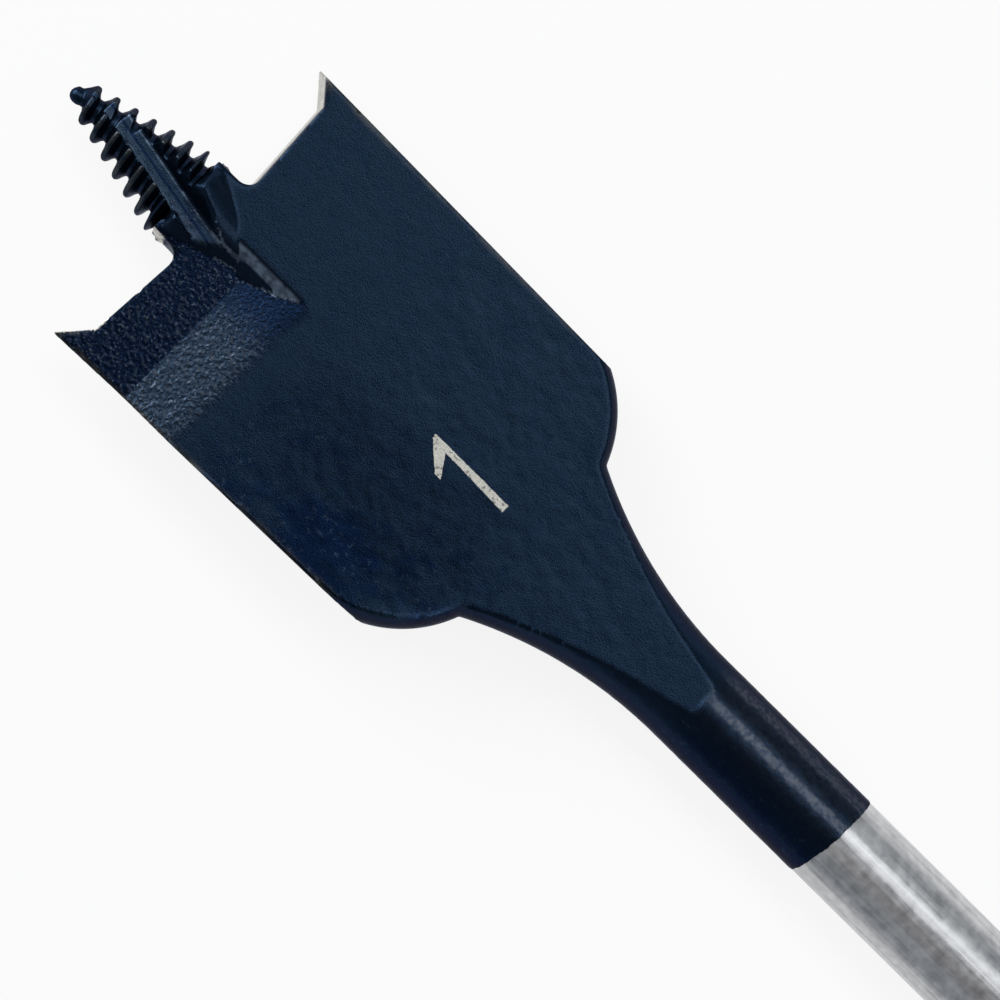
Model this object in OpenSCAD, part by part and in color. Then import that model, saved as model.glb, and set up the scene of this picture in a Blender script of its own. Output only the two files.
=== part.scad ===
/* [Overall] */
// Length from the tip of the lead screw to the end of the shank
overall_len = 152.4; // [130:0.1:200]

/* [Blade] */
// Cutting diameter across the two spur tips
cut_d = 25.4; // [21:0.1:32]
// Thickness between the two flat faces
blade_t = 4.1; // [3.4:0.1:5]
// Distance from the screw tip back to the spur tips
spur_at = 10.5; // [9.5:0.1:12.5]
// Height of a spur above the outer end of its lip
spur_h = 1.8; // [0.8:0.05:2.4]
// Width of a spur at its foot
spur_w = 2.15; // [1.5:0.05:3.5]
// Slope of a lip back towards the middle, in degrees
lip_slope = 3.5; // [0:0.5:8]
// Relief behind the lips and spurs, in degrees
lip_relief = 6; // [4:0.5:12]
// Radius of the gullet between a lip and the screw
gullet_r = 1; // [0.5:0.05:1.4]
// Clearance ground on the long sides, in degrees
side_clear = 8.5; // [2:0.5:10]
// Taper of each long side towards the shoulder, in degrees
back_taper = 0.95; // [0.2:0.05:2]

/* [Scoop] */
// Distance from the spur tips back to the bottom of the scoop
scoop_fall = 6.3; // [5:0.1:8]
// Distance from the bottom of the scoop up to the flat face
scoop_rise = 4.4; // [3:0.1:7]
// Depth of the scoop at its bottom
scoop_depth = 1.1; // [0.6:0.05:1.5]
// Slope of the wall at the inner end of the scoop, in degrees
wall_slope = 36; // [30:1:50]
// Slope of the chamfer along the top of that wall, in degrees
chamfer_slope = 25.5; // [15:0.5:29]
// Width of that chamfer
chamfer_w = 0.8; // [0.4:0.05:1]
// How far the chamfer reaches past the axis
chamfer_past = 0.35; // [0:0.05:0.8]

/* [Shoulder and neck] */
// Distance from the screw tip to the centre of the rounded shoulders
shoulder_at = 34.3; // [30:0.1:42]
// Radius of a shoulder
shoulder_r = 9; // [7:0.1:11]
// How far the forged shoulder stands outside the ground side
shoulder_over = 0.57; // [0.4:0.01:1]
// Width of the neck where it leaves the shoulders
neck_w = 14.1; // [13:0.1:17]
// Length of the neck from the shoulders to the round shank
neck_len = 14.8; // [12:0.1:20]
// Length over which the flat faces run out on the neck
ramp_len = 13.7; // [10:0.1:18]
// How far the flat faces run on past the neck
ramp_past = 2.4; // [1:0.1:6]

/* [Shank] */
// Diameter of the round shank
shank_d = 6.94; // [6.8:0.02:8]
// Length of coated round shank behind the neck
coat_len = 13.25; // [8:0.25:30]
// Width across the flats of the hexagon drive
hex_af = 6.35; // [6:0.01:6.5]
// Length of the hexagon drive
hex_len = 30; // [24:0.5:40]
// Slope at which the hexagon flats run out, in degrees
hex_runout = 20; // [10:1:45]
// Distance from the shank end to the middle of the detent groove
groove_at = 11.1; // [9:0.1:14]
// Radius of the groove's round bottom
groove_r = 2.3; // [1.5:0.1:3]
// Diameter at the bottom of the groove
groove_d = 4.9; // [4.4:0.1:5.6]
// Chamfer on the shank end
end_chamfer = 0.9; // [0.3:0.1:1.5]

/* [Lead screw] */
// Pitch of the thread
screw_pitch = 1.36; // [1.1:0.01:1.8]
// Radius of the thread crest, carried on to the screw tip
crest_r = 0.98; // [0.8:0.01:1.4]
// Growth of the crest radius for each millimetre of length
crest_growth = 0.25; // [0.2:0.005:0.26]
// Radius of the thread root, carried on to the screw tip
root_r = 0.31; // [0.3:0.01:0.7]
// Growth of the root radius for each millimetre of length
root_growth = 0.214; // [0.15:0.002:0.23]
// Radius of the blunt knob at the start of the thread
nose_r = 0.55; // [0.4:0.05:0.6]
// Side offset of that knob from the axis
nose_side = 0.2; // [0:0.05:0.3]
// Distance of the stub's front ahead of the spur tips
stub_lead = 0.2; // [0:0.05:0.4]
// Distance from the spur tips back to the largest part of the boss
boss_back = 0.4; // [0.2:0.05:0.8]
// Largest radius of the boss behind the screw
boss_r = 3.45; // [3.3:0.05:3.6]
// Half angle of the cone behind the boss, in degrees
boss_cone = 20; // [12:0.5:25]
// Half width of the stub between the two gullets
stub_w = 3.1; // [2.9:0.05:3.3]
// Width of the flute's floor
flute_w = 1.4; // [1:0.05:1.8]
// Height of the flute's floor above the axis, carried on to the screw tip
flute_floor = 0.94; // [0.8:0.02:1.3]
// Rise of the flute's floor towards the shank, in degrees
flute_rise = 4.3; // [2:0.1:6]
// Angle between the flute and the axis, in degrees
flute_turn = 11; // [0:0.5:15]
// Side offset of the flute's middle, carried on to the screw tip
flute_offset = 1.28; // [0.6:0.02:1.6]
// Lean of the flute's steep side from upright, in degrees
flute_lean = 33; // [10:1:45]

/* [Hidden] */
$fn = 96;

coat_colour = [0.09, 0.13, 0.21];
steel_colour = [0.72, 0.72, 0.73];

half_w = cut_d / 2;
half_t = blade_t / 2;
bar_r = shank_d / 2;
// Overlap between forms, half height of the raw blank, and a length beyond every edge
lap = 1;
tall = bar_r + lap;
beyond = 2 * cut_d;

// Shoulder centres, and the point where neck and shoulder meet
shoulder_y = half_w - (shoulder_at - spur_at) * tan(back_taper) + shoulder_over - shoulder_r;
foot_x = shoulder_at + sqrt(pow(shoulder_r, 2) - pow(neck_w / 2 - shoulder_y, 2));
neck_at = foot_x + neck_len;
neck_gain = neck_w / 2 - bar_r;
neck_r = (pow(neck_len, 2) + pow(neck_gain, 2)) / (2 * neck_gain);
neck_y = neck_r + bar_r;
neck_lap = 4;
neck_turn = asin(neck_len / neck_r) + neck_lap;
neck_web = neck_y / cos(neck_turn) - neck_y + lap;

ramp_end = neck_at + ramp_past;
ramp_slope = (bar_r - half_t) / ramp_len;
coat_end = neck_at + coat_len;

// Lips: outer end at the foot of the spur, inner end at the gullet
lip_at = spur_at + spur_h;
lip_y = half_w - spur_w;
lip_fall = tan(lip_slope);
stub_at = spur_at - stub_lead;
gullet_y = stub_w + gullet_r;
gullet_x = (lip_y - gullet_y) * lip_fall - gullet_r / cos(lip_slope);

scoop_low = spur_at + scoop_fall;
scoop_end = scoop_low + scoop_rise;
chamfer_fall = chamfer_w * tan(chamfer_slope);
wall_run = (tall - chamfer_fall) / tan(wall_slope);

// Thread: key points across one pitch, each a share of the pitch and a height from root to crest
thread_shape = [[0, 0], [0.22, 0], [0.57, 1], [0.66, 1]];
thread_keys = len(thread_shape);
thread_steps = 28;
boss_at = spur_at + boss_back;
thread_start = 0.16;
thread_rows = thread_keys * ceil((boss_at - thread_start) / screw_pitch);
thread_skin = 0.15;

// The bit lies on its shank and on one spur
rest_roll = asin(bar_r / norm([half_w, half_t])) - atan2(half_t, half_w);

module twice() {
    children();
    rotate([180, 0, 0]) children();
}

module both_sides() {
    children();
    mirror([0, 1, 0]) children();
}

module turned() {
    rotate([0, 90, 0]) rotate_extrude() children();
}

// Forged blank: plate, round-edged shoulders, neck and coated shank

module plate() {
    side = half_w + lap;
    translate([stub_at, -side, -tall]) cube([shoulder_at - stub_at, 2 * side, 2 * tall]);
}

module shoulder() {
    core = shoulder_r - bar_r;
    translate([shoulder_at, shoulder_y, 0])
        rotate_extrude() {
            translate([0, -tall]) square([core, 2 * tall]);
            intersection() {
                translate([core, 0]) circle(r = bar_r);
                translate([0, -tall]) square([shoulder_r, 2 * tall]);
            }
        }
}

module neck_half() {
    intersection() {
        translate([neck_at, neck_y, 0])
            rotate_extrude(angle = neck_turn, start = 270 - neck_turn) {
                translate([neck_y, 0]) circle(r = bar_r);
                translate([neck_y, -tall]) square([neck_web, 2 * tall]);
            }
        translate([0, 0, -tall]) cube([neck_at, beyond, 2 * tall]);
    }
}

module coated_shank() {
    translate([neck_at, 0, 0]) rotate([0, 90, 0]) cylinder(r = bar_r, h = coat_len);
}

module face_slab() {
    far = coat_end + lap;
    far_z = bar_r + (far - ramp_end) * ramp_slope;
    ramp_start = ramp_end - ramp_len;
    rotate([90, 0, 0])
        linear_extrude(height = beyond, center = true)
            polygon([
                [0, -half_t], [ramp_start, -half_t], [far, -far_z],
                [far, far_z], [ramp_start, half_t], [0, half_t]
            ]);
}

module forged_blank() {
    intersection() {
        union() {
            plate();
            both_sides() shoulder();
            both_sides() neck_half();
            coated_shank();
        }
        face_slab();
    }
}

// Ground cutting end: long sides, lips with spurs and gullets, scoops

module side_cut() {
    translate([spur_at, half_w, -half_t])
        rotate([side_clear, 0, -back_taper])
            translate([-beyond, 0, -beyond]) cube([3 * beyond, beyond, 2 * beyond]);
}

module lip_outline() {
    spur_run = spur_h / spur_w;
    outer = lip_y + beyond;
    polygon([
        [-beyond, stub_w], [gullet_x, stub_w], [gullet_x, gullet_y],
        [gullet_x + gullet_r * cos(lip_slope), gullet_y + gullet_r * sin(lip_slope)],
        [0, lip_y], [-spur_run * beyond, outer], [-beyond, outer]
    ]);
    translate([gullet_x, gullet_y]) circle(r = gullet_r);
}

module lip_cut() {
    translate([lip_at, 0, -half_t])
        rotate([0, lip_relief, 0])
            linear_extrude(height = 4 * tall, center = true) lip_outline();
}

module scoop_cut() {
    fall = scoop_depth / scoop_fall;
    rise = scoop_depth / scoop_rise;
    intersection() {
        rotate([90, 0, 0])
            linear_extrude(height = 2 * beyond, center = true)
                translate([0, half_t])
                    polygon([
                        [scoop_low, -scoop_depth], [scoop_end + tall, tall * rise],
                        [scoop_end + tall, tall], [stub_at - tall, tall], [stub_at - tall, tall * fall]
                    ]);
        translate([0, 0, half_t])
            rotate([90, 0, 90])
                linear_extrude(height = beyond)
                    polygon([
                        [chamfer_past + tall, tall * tan(chamfer_slope)], [chamfer_past, 0],
                        [chamfer_past - chamfer_w, -chamfer_fall],
                        [chamfer_past - chamfer_w - wall_run, -tall],
                        [-beyond, -tall], [-beyond, tall]
                    ]);
    }
}

module ground_blade() {
    difference() {
        forged_blank();
        twice() side_cut();
        twice() lip_cut();
        twice() scoop_cut();
    }
}

// Lead screw: the thread is a helical grid of points, closed by a point at either end

function crest_at(x) = crest_r + crest_growth * x;
function root_at(x) = root_r + root_growth * x;
function boss_limit(x) = boss_r - thread_skin - (x - boss_at) * tan(boss_cone);
function thread_r(x, share) =
    min(root_at(x) + share * (crest_at(x) - root_at(x)), boss_limit(x));
function thread_x(row, step) =
    thread_start + screw_pitch * (
        floor(row / thread_keys) + thread_shape[row % thread_keys][0] + step / thread_steps
    );
function thread_point(row, step) =
    let (
        x = thread_x(row, step),
        r = thread_r(x, thread_shape[row % thread_keys][1]),
        turn = 360 * step / thread_steps
    )
    [x, r * cos(turn), r * sin(turn)];
function thread_index(row, step) =
    step < thread_steps ? row * thread_steps + step : (row + thread_keys) * thread_steps;

module lead_screw() {
    last = thread_steps - 1;
    tip = (thread_rows + 1) * thread_steps;
    root = tip + 1;
    points = [
        for (row = [0 : thread_rows]) for (step = [0 : last]) thread_point(row, step),
        [0, 0, 0],
        [thread_x(thread_rows, last) + lap / 2, 0, 0]
    ];
    skin = [
        for (row = [0 : thread_rows - 1]) for (step = [0 : last])
            if (step < last || row + thread_keys < thread_rows)
                let (
                    a = thread_index(row, step),
                    b = thread_index(row + 1, step),
                    c = thread_index(row + 1, step + 1),
                    d = thread_index(row, step + 1)
                )
                each [[a, b, c], [a, c, d]]
    ];
    tip_loop = [
        for (step = [0 : thread_steps]) thread_index(0, step),
        thread_index(1, 0),
        thread_index(0, 0)
    ];
    first_tooth = [
        for (row = [thread_keys : -1 : 3])
            [thread_index(1, 0), thread_index(row, 0), thread_index(row - 1, 0)]
    ];
    root_loop = [
        for (step = [0 : last]) thread_index(thread_rows, step),
        for (row = [1 : thread_keys]) thread_index(thread_rows - row, last),
        thread_index(thread_rows, 0)
    ];
    tip_cap = [for (i = [0 : len(tip_loop) - 2]) [tip, tip_loop[i], tip_loop[i + 1]]];
    root_cap = [for (i = [0 : len(root_loop) - 2]) [root, root_loop[i + 1], root_loop[i]]];
    polyhedron(points = points, faces = concat(skin, tip_cap, first_tooth, root_cap));
}

module nose() {
    translate([nose_r, -nose_side, 0]) sphere(r = nose_r);
}

module boss() {
    length = boss_r / tan(boss_cone);
    front = boss_at - stub_at;
    turned()
        polygon([
            [0, stub_at], [boss_r - front, stub_at], [boss_r, boss_at], [0, boss_at + length]
        ]);
}

module flute_cut() {
    floor_half = flute_w / 2;
    depth = 2 * boss_r;
    draft = tan(flute_lean);
    translate([0, flute_offset, flute_floor])
        rotate([0, -flute_rise, -flute_turn])
            rotate([90, 0, 90])
                linear_extrude(height = 2 * boss_at)
                    polygon([
                        [-floor_half, 0], [floor_half, 0],
                        [floor_half + depth * draft, depth], [-floor_half, depth]
                    ]);
}

module cutting_end() {
    difference() {
        union() {
            ground_blade();
            boss();
            lead_screw();
            nose();
        }
        twice() flute_cut();
    }
}

// Bare shank with hexagon drive

module hex_flat() {
    start = overall_len - hex_len;
    runout = (bar_r - hex_af / 2) / tan(hex_runout);
    rotate([90, 0, 0])
        linear_extrude(height = 4 * bar_r, center = true)
            polygon([
                [start, hex_af / 2], [overall_len + lap, hex_af / 2],
                [overall_len + lap, 2 * bar_r], [start - 2 * runout, 2 * bar_r],
                [start - 2 * runout, 2 * bar_r - hex_af / 2]
            ]);
}

module detent_groove() {
    translate([overall_len - groove_at, 0, 0])
        turned() translate([groove_d / 2 + groove_r, 0]) circle(r = groove_r);
}

module bare_shank() {
    difference() {
        turned()
            polygon([
                [0, coat_end], [bar_r, coat_end], [bar_r, overall_len - end_chamfer],
                [bar_r - end_chamfer, overall_len], [0, overall_len]
            ]);
        for (side = [0 : 5]) rotate([60 * side, 0, 0]) hex_flat();
        detent_groove();
    }
}

module spade_bit() {
    translate([-overall_len / 2, 0, bar_r])
        rotate([-rest_roll, 0, 0]) {
            color(coat_colour) cutting_end();
            color(steel_colour) bare_shank();
        }
}

spade_bit();
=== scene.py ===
import math

import bmesh
import bpy
import numpy as np
from mathutils import Matrix, Vector, noise


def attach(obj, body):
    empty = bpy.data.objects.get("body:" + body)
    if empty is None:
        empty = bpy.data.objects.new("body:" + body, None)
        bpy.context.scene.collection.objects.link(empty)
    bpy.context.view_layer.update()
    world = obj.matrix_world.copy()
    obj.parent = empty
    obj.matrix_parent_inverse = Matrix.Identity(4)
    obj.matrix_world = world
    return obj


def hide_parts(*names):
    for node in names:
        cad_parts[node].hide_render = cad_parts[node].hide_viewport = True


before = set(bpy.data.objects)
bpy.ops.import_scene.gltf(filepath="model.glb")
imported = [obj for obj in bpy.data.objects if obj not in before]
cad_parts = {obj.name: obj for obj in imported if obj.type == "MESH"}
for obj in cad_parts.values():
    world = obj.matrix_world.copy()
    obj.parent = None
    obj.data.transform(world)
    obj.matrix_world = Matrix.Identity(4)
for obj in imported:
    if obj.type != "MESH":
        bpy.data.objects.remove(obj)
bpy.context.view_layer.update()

scene = bpy.context.scene
scene.view_settings.view_transform = "Standard"

# The bit's own frame in millimetres: x back from the screw tip, y across, z out of the marked face
bit = {
    "length": 152.4,
    "barRadius": 3.47,
    "halfWidth": 12.7,
    "faceHeight": 2.05,
    "screwEnd": 10.2,
    "spurAt": 10.5,
    "scoopLow": 16.8,
    "scoopEnd": 21.2,
    "scoopDepth": 1.1,
    "scoopInner": 0.35,
    "shoulderAt": 34.3,
    "shoulderSide": 3.8754,
    "shoulderRadius": 9.0,
    "neckAt": 57.5215,
    "neckSide": 35.852,
    "neckFoot": 42.72,
    "rampStart": 46.22,
    "rampEnd": 59.92,
    "coatEnd": 70.77,
}
roll = math.asin(bit["barRadius"] / math.hypot(bit["halfWidth"], bit["faceHeight"]))
roll -= math.atan2(bit["faceHeight"], bit["halfWidth"])
atRest = Matrix.Translation((-bit["length"] / 2, 0, bit["barRadius"])) @ Matrix.Rotation(-roll, 4, "X")
toRow = Matrix.Scale(0.001, 4) @ atRest
toBit = toRow.inverted()


def smooth(x, low, high):
    t = np.clip((x - low) / (high - low), 0, 1)
    return t * t * (3 - 2 * t)


def within(x, low, high):
    return (x > low) & (x < high)


def noiseAt(points, scale, octaves=1, seed=0.0):
    # seed shifts the pattern, so two layers don't line up
    shift = Vector((seed, -seed, 2 * seed))
    if octaves == 1:
        return np.array([noise.noise(Vector(p) * scale + shift) for p in points])
    falloff, spacing = 0.8, 2.1
    return np.array([noise.fractal(Vector(p) * scale + shift, falloff, spacing, octaves) for p in points])


# Mesh tools, in millimetres and degrees

meshing = {
    "cadWeld": 1e-5,
    "gridWeld": 0.004,
    "flapRounds": 6,
    "offRadius": 0.05,  # how far a facet's corner may lie off its true radius
    "shoulderOverlap": 0.1,
    "cornerDegrees": 24,
    "cornerRounds": 2,
    "cornerStrength": 0.45,
    "seamRim": 0.03,
    "sharpDegrees": 38,
}


def cadSlice(fromX, toX):
    bm = bmesh.new()
    bm.from_mesh(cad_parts["spade_bit"].data)
    bm.transform(toBit)
    bmesh.ops.remove_doubles(bm, verts=bm.verts, dist=meshing["cadWeld"])
    for planeX, side in ((fromX, -1), (toX, 1)):
        if planeX is None:
            continue
        everything = bm.verts[:] + bm.edges[:] + bm.faces[:]
        cut = bmesh.ops.bisect_plane(
            bm, geom=everything, plane_co=(planeX, 0, 0), plane_no=(side, 0, 0), clear_outer=True
        )["geom_cut"]
        rim = [e for e in cut if isinstance(e, bmesh.types.BMEdge)]
        bmesh.ops.contextual_create(bm, geom=rim)
    bmesh.ops.triangulate(bm, faces=bm.faces)
    return bm


def dropFlaps(bm):
    # The grid can leave two faces back to back, a lone face, or an edge with four faces
    for _ in range(meshing["flapRounds"]):
        groups = {}
        for face in bm.faces:
            groups.setdefault(frozenset(face.verts), []).append(face)
        stray = {face for group in groups.values() if len(group) > 1 for face in group}
        stray |= {face for face in bm.faces if all(len(edge.link_faces) == 1 for edge in face.edges)}
        bmesh.ops.delete(bm, geom=list(stray), context="FACES")
        pinched = [edge for edge in bm.edges if len(edge.link_faces) > 2]
        if not stray and not pinched:
            break
        bmesh.ops.collapse(bm, edges=pinched)


def remeshed(bm, depth, scale):
    # An even grid of small faces that keeps the ground corners
    raw = bpy.data.meshes.new("raw")
    bm.to_mesh(raw)
    bm.free()
    holder = bpy.data.objects.new("raw", raw)
    scene.collection.objects.link(holder)
    grid = holder.modifiers.new("grid", "REMESH")
    grid.mode = "SHARP"
    grid.octree_depth = depth
    grid.scale = scale
    grid.use_remove_disconnected = True
    evaluated = holder.evaluated_get(bpy.context.evaluated_depsgraph_get())
    fine = bmesh.new()
    fine.from_mesh(evaluated.to_mesh())
    bpy.data.objects.remove(holder)
    bpy.data.meshes.remove(raw)
    bmesh.ops.remove_doubles(fine, verts=fine.verts, dist=meshing["gridWeld"])
    dropFlaps(fine)
    return fine


def pointsOf(bm):
    return np.array([v.co for v in bm.verts])


def normalsOf(bm):
    bm.normal_update()
    return np.array([v.normal for v in bm.verts])


def setPoints(bm, points):
    for v, p in zip(bm.verts, points):
        v.co = p


def edgePairs(bm):
    bm.verts.index_update()
    return np.array([(e.verts[0].index, e.verts[1].index) for e in bm.edges])


def neighbourMean(values, pairs):
    total = np.zeros_like(values)
    count = np.zeros(len(values))
    for a, b in ((0, 1), (1, 0)):
        np.add.at(total, pairs[:, a], values[pairs[:, b]])
        np.add.at(count, pairs[:, a], 1)
    count = np.maximum(count, 1)
    return total / (count[:, None] if values.ndim == 2 else count)


def relax(points, pairs, weight, rounds):
    # Draws each point towards the middle of its neighbours
    for _ in range(rounds):
        points += (neighbourMean(points, pairs) - points) * weight[:, None]
    return points


def cornerMask(bm, degrees):
    # 1 on vertices of edges that turn more than this
    bm.verts.index_update()
    mask = np.zeros(len(bm.verts))
    limit = math.radians(degrees)
    for e in bm.edges:
        if len(e.link_faces) == 2 and e.calc_face_angle(0) > limit:
            mask[e.verts[0].index] = mask[e.verts[1].index] = 1
    return mask


def softenCorners(bm, seam=None):
    # seam: x of a joint with another piece, which keeps its rim
    s = meshing
    pairs, points = edgePairs(bm), pointsOf(bm)
    near = cornerMask(bm, s["cornerDegrees"])
    near = np.maximum(near, 0.5 * neighbourMean(near, pairs))
    if seam is not None:
        near *= np.abs(points[:, 0] - seam) > s["seamRim"]
    setPoints(bm, relax(points, pairs, near * s["cornerStrength"], s["cornerRounds"]))


def roundTrue(points):
    # Puts the facets of the round shank, neck and shoulders back on their true radius
    x, y, z = points.T.copy()
    r, off = bit["barRadius"], meshing["offRadius"]
    rho = np.hypot(y, z)
    fit = (x > bit["neckAt"]) & (np.abs(rho - r) < off)
    y[fit] *= r / rho[fit]
    z[fit] *= r / rho[fit]
    side = np.where(y < 0, -1.0, 1.0)
    shoulderEnd = bit["neckFoot"] + meshing["shoulderOverlap"]
    # bend is -1 on the hollow neck and 1 on the full shoulder
    for centreX, centreY, tube, bend, fromX, toX in (
        (bit["neckAt"], bit["neckSide"], bit["neckSide"], -1, bit["neckFoot"], bit["neckAt"]),
        (bit["shoulderAt"], bit["shoulderSide"], bit["shoulderRadius"] - r, 1, bit["shoulderAt"], shoulderEnd),
    ):
        dx, dy = x - centreX, y - side * centreY
        away = np.hypot(dx, dy)
        u = away - tube
        rho = np.hypot(u, z)
        fit = (np.abs(rho - r) < off) & (u * bend > 0) & within(x, fromX, toX)
        grow = (tube + u[fit] * r / rho[fit]) / away[fit]
        x[fit] = centreX + dx[fit] * grow
        y[fit] = side[fit] * centreY + dy[fit] * grow
        z[fit] *= r / rho[fit]
    return np.column_stack((x, y, z))


def bothFaces(points):
    # The two faces are the same after half a turn about the axis
    for sign in (1, -1):
        yield sign, points * np.array([1, sign, sign])


def makePiece(name, bm, masks, sharpDegrees=meshing["sharpDegrees"]):
    mesh = bpy.data.meshes.new(name)
    bmesh.ops.recalc_face_normals(bm, faces=bm.faces)
    bm.transform(toRow)
    bm.to_mesh(mesh)
    bm.free()
    for label, values in masks.items():
        layer = mesh.attributes.new(label, "FLOAT", "POINT")
        layer.data.foreach_set("value", values.astype(np.float32))
    mesh.polygons.foreach_set("use_smooth", [True] * len(mesh.polygons))
    mesh.set_sharp_from_angle(angle=math.radians(sharpDegrees))
    piece = bpy.data.objects.new(name, mesh)
    scene.collection.objects.link(piece)
    triangles = sum(len(p.vertices) - 2 for p in mesh.polygons)
    print(name, "triangles", triangles)
    return piece


# Ground places of blade and screw: pairs are limits along x, y or a normal, leans are normals

grinding = {
    "lipLean": -0.75,
    "lipFrom": 3.7,
    "lipEnd": 13.6,
    "spurLean": -0.45,
    "spurFrom": 10.2,
    "spurEnd": 12.6,
    "spurRise": 0.8,
    "stubFront": -0.35,
    "stubLean": 0.7,
    "stubSide": (2.85, 3.5),
    "stubAlong": (bit["screwEnd"] + 0.02, 11.35),
    "stubShare": 0.58,
    "brightEdge": (0.2, 0.7),
    "chamferLean": (-0.52, -0.3),
    "chamferUp": 0.8,
    "chamferSide": (-0.75, 0.6),
    "chamferAlong": (13, 22.4),
}

flute = {
    "offset": 1.28,
    "floor": 0.94,
    "turn": 11.0,
    "rise": 4.3,
    "halfWidth": 0.7,
    "along": (2, 15),
    "offFloor": 0.07,
    "reach": 1.05,
    # Painted light and shade across the flute's floor, from its left side to its right wall
    "stops": (
        (0.0, 0.0), (0.07, 0.1), (0.42, 0.075), (0.5, 0.0), (0.56, 0.0),
        (0.62, 0.04), (0.84, 0.04), (0.9, 0.5), (0.96, 0.04),
    ),
}


def burnishAndHighlightMasks(points, normals):
    # ground: lips' relief left bright; polish: chamfers ground to a paler grey, partly painted highlight;
    # flute: floors of the flutes
    g = grinding
    ground = np.zeros(len(points))
    polishAndHighlight = np.zeros(len(points))
    floorOf = np.zeros(len(points))
    fluteTurn = Matrix.Rotation(math.radians(-flute["turn"]), 3, "Z")
    fluteTurn = fluteTurn @ Matrix.Rotation(math.radians(-flute["rise"]), 3, "Y")
    intoFlute = np.array(fluteTurn.inverted())
    nx = normals[:, 0]
    low, high = g["brightEdge"]
    for sign, p in bothFaces(points):
        x, y, z = p.T
        ny, nz = normals[:, 1] * sign, normals[:, 2] * sign
        lip = (nx < g["lipLean"]) & (y > g["lipFrom"]) & (x < g["lipEnd"])
        spur = (nx < g["spurLean"]) & (y > g["spurFrom"]) & (x < g["spurEnd"])
        stub = within(y, *g["stubSide"]) & within(x, *g["stubAlong"])
        stub &= (nx < g["stubFront"]) | (ny > g["stubLean"])
        cut = np.maximum((lip | spur) * 1.0, g["stubShare"] * stub)
        rise = g["spurRise"] * spur
        ground = np.maximum(ground, cut * (1 - smooth(z, low + rise, high + rise)))
        local = (p - np.array([0, flute["offset"], flute["floor"]])) @ intoFlute.T
        across = local[:, 1] / flute["halfWidth"]
        onFloor = (np.abs(local[:, 2]) < flute["offFloor"]) & (np.abs(across) < flute["reach"])
        onFloor &= within(x, *flute["along"])
        floorOf = np.maximum(floorOf, onFloor * 1.0)
        chamfer = within(ny, *g["chamferLean"]) & (nz > g["chamferUp"])
        chamfer &= within(y, *g["chamferSide"]) & within(x, *g["chamferAlong"])
        polishAndHighlight = np.maximum(polishAndHighlight, chamfer * 1.0)
    return {"ground": ground, "polishAndHighlight": polishAndHighlight, "flute": floorOf}


# Coated blade: pairs are the places where an effect starts and is full

coatedBlade = {
    "gridDepth": 9,
    "gridScale": 0.62,
    "bossRounding": 3,
    "bossStart": (bit["screwEnd"] + 0.05, bit["screwEnd"] + 0.3),
    "bossEnd": (12, 13),
    "bossSides": (4.2, 5.0),
    "scoopFade": 4,
    "scoopBlend": 1.3,
    "scoopBlendSide": (0.2, 1.6),
    "farSlope": (bit["scoopLow"] - 0.15, bit["scoopLow"] + 0.25),
    "riseSides": (1.5, 6.0),
    "riseInner": 0.1,
    "peenScale": 3.3,
    "peenDepth": 0.05,
    "peenSides": (0.8, 6.0),
    "peenInner": 0.35,
    "forgeScale": 0.42,
    "forgeDepth": 0.024,
    "forgeStart": (23, 33),
    "forgeFront": 0.3,
    "forgeEnd": (bit["rampEnd"] - 7, bit["rampEnd"] - 3),
    "forgeSides": (10.2, 11.8),
    "leftDrop": 0.3,
    "leftSide": (-0.5, 9.5),
    "leftStart": (21, 29),
    "leftEnd": (38, 45),
    "rampBlend": 5.0,
    "rampStep": (57.7, 58.4),
    "shankDents": 0.012,
    "dentScale": 2.2,
    "dentStart": (bit["rampStart"], bit["rampStart"] + 4),
    "dentEnd": (bit["coatEnd"] - 0.8, bit["coatEnd"] - 0.3),
    "coatTilt": 0.085,
    "coatRagged": 0.11,
    "raggedScale": 2.4,
    "raggedStart": (bit["coatEnd"] - 2.5, bit["coatEnd"] - 0.1),
    "slickLean": 70.0,
    "slickStart": (bit["rampEnd"] - 3, bit["rampEnd"]),
    "slickWidth": (0.1, 0.9),
}

# Darker coating, and painted shade down one side of the round bar
deepCoatAndShade = {
    "left": 0.3,
    "leftStreaks": 0.55,
    "leftSide": (0.5, 7.5),
    "leftStart": (21, 26),
    "leftEnd": (40, 47),
    "patch": 0.85,
    "patchAt": (33, 10.2),
    "patchSize": (4.8, 3.4),
    "streaks": 0.25,
    "streakScale": 0.9,
    "streakStretch": (0.6, 1.0, 0.2),
    "bar": 0.6,
    "barLean": 150.0,
    "barStart": (bit["rampEnd"] - 4, bit["rampEnd"] + 1),
    "barWidth": (-0.2, 0.8),
}

edgeWear = {"degrees": 30, "sides": (11.2, 11.9), "end": (34, 37), "rounds": 2, "fade": 0.8}
# Pale lines along the scoop wall's edges, partly burnish and partly painted highlight
wallEdge = {"degrees": 22, "side": 1.7, "along": (14.5, 22.5), "polishAndHighlight": 0.6}


def coatLine(points):
    # Where the coating stops, a little ragged and not quite square
    s = coatedBlade
    angle = np.arctan2(points[:, 2], points[:, 1])
    ring = np.column_stack((np.cos(angle), np.sin(angle), np.full(len(angle), 3.0)))
    return s["coatTilt"] * points[:, 1] + s["coatRagged"] * noiseAt(ring, s["raggedScale"], 3, 4.0)


def scoopFloor(x):
    low, end, front = bit["scoopLow"], bit["scoopEnd"], bit["spurAt"]
    share = (x - low) / np.where(x < low, front - low, end - low)
    return bit["faceHeight"] - bit["scoopDepth"] * (1 - share)


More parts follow.
